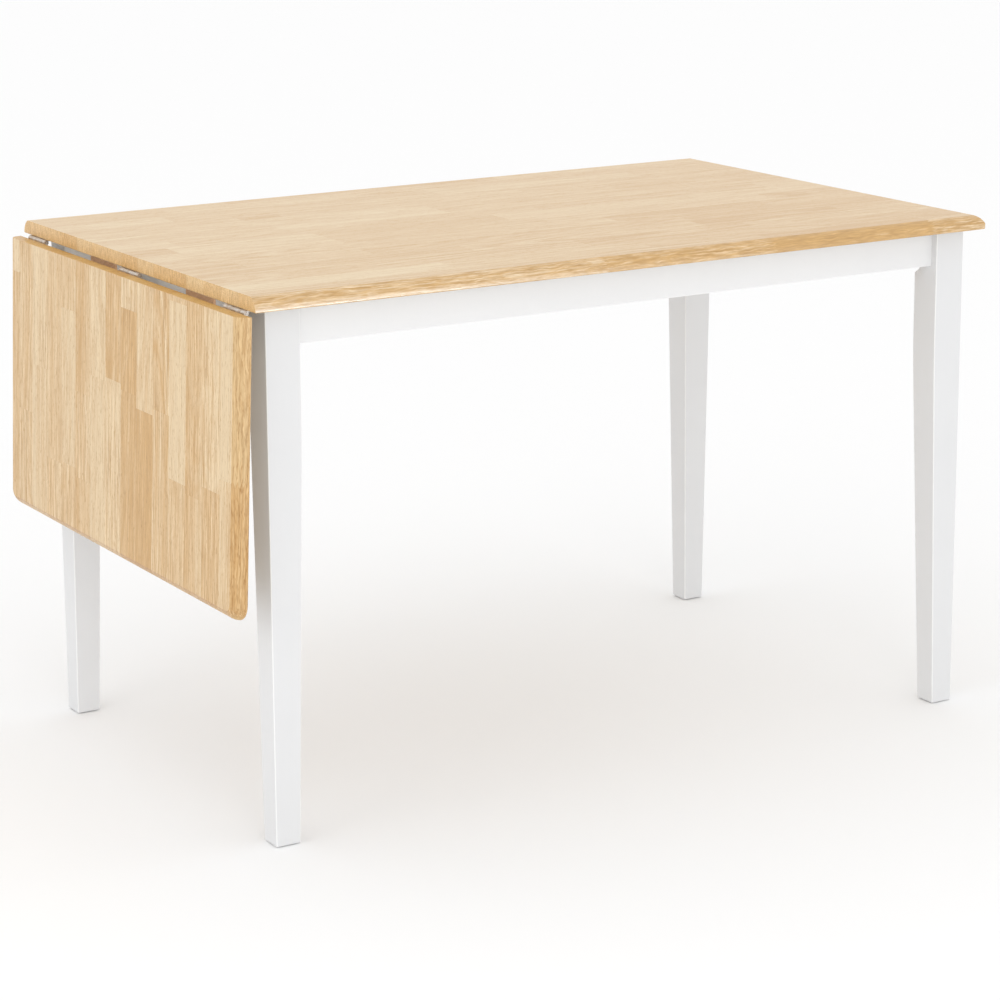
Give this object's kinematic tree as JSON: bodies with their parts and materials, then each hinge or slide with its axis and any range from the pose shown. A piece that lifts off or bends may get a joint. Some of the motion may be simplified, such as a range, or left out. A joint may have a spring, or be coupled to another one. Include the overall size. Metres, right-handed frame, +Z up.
{
  "type": "drop-leaf dining table",
  "caption": "Rectangular dining table with a pale stave-wood top, white tapered square legs and one hinged end leaf that hangs down and swings up level over pull-out supports.",
  "frame": {"origin": "on the floor, under the middle of the whole outline with the leaf hanging", "axes": "+Z up, +X along the length of the top away from the leaf, +Y to the back long side"},
  "size_m": [1.2405, 0.75, 0.75],
  "materials": {
    "natural_wood": "clear satin lacquer on pale finger-jointed staves",
    "white_painted_wood": "white satin paint",
    "bare_frame_wood": "bare sanded wood",
    "support_wood": "bare brown hardwood",
    "dowel_wood": "bare turned beech",
    "hinge_steel": "bright zinc plate, slightly yellow",
    "fastener_steel": "zinc plate",
    "glide_plastic": "matt grey nylon"
  },
  "bodies": {
    "table": {"apron_back": "white_painted_wood", "apron_free_end": "white_painted_wood", "apron_front": "white_painted_wood", "apron_leaf_end": "white_painted_wood", "corner_block_back_left": "bare_frame_wood", "corner_block_back_right": "bare_frame_wood", "corner_block_front_left": "bare_frame_wood", "corner_block_front_right": "bare_frame_wood", "corner_block_screws": "fastener_steel", "foot_glide_back_left": "glide_plastic", "foot_glide_back_right": "glide_plastic", "foot_glide_front_left": "glide_plastic", "foot_glide_front_right": "glide_plastic", "guide_rail": "bare_frame_wood", "guide_rail_dowels": "dowel_wood", "hanger_bolt_nuts": "fastener_steel", "hanger_bolt_washers": "fastener_steel", "hanger_bolts": "fastener_steel", "hinge_pin_back": "hinge_steel", "hinge_pin_front": "hinge_steel", "hinge_pin_middle": "hinge_steel", "hinge_screws_top": "fastener_steel", "hinge_top_wing_back": "hinge_steel", "hinge_top_wing_front": "hinge_steel", "hinge_top_wing_middle": "hinge_steel", "leg_back_left": "white_painted_wood", "leg_back_right": "white_painted_wood", "leg_front_left": "white_painted_wood", "leg_front_right": "white_painted_wood", "pocket_screws": "fastener_steel", "tabletop": "natural_wood"},
    "leaf": {"hinge_leaf_wing_back": "hinge_steel", "hinge_leaf_wing_front": "hinge_steel", "hinge_leaf_wing_middle": "hinge_steel", "hinge_screws_leaf": "fastener_steel", "leaf": "natural_wood"},
    "support_front": {"stop_peg_front": "dowel_wood", "support_slide_front": "support_wood"},
    "support_back": {"stop_peg_back": "dowel_wood", "support_slide_back": "support_wood"}
  },
  "joints": [
    {"name": "leaf_hinge", "type": "hinge", "parent": "table", "child": "leaf", "pos_m": [-0.58045, 0, 0.7264], "axis": [0, 1, 0], "range_deg": [-6.95, 87.6]},
    {"name": "support_draw_front", "type": "slide", "parent": "table", "child": "support_front", "axis": [-1, 0, 0], "range_m": [0, 0.026]},
    {"name": "support_draw_back", "type": "slide", "parent": "table", "child": "support_back", "axis": [-1, 0, 0], "range_m": [0, 0.026]}
  ]
}
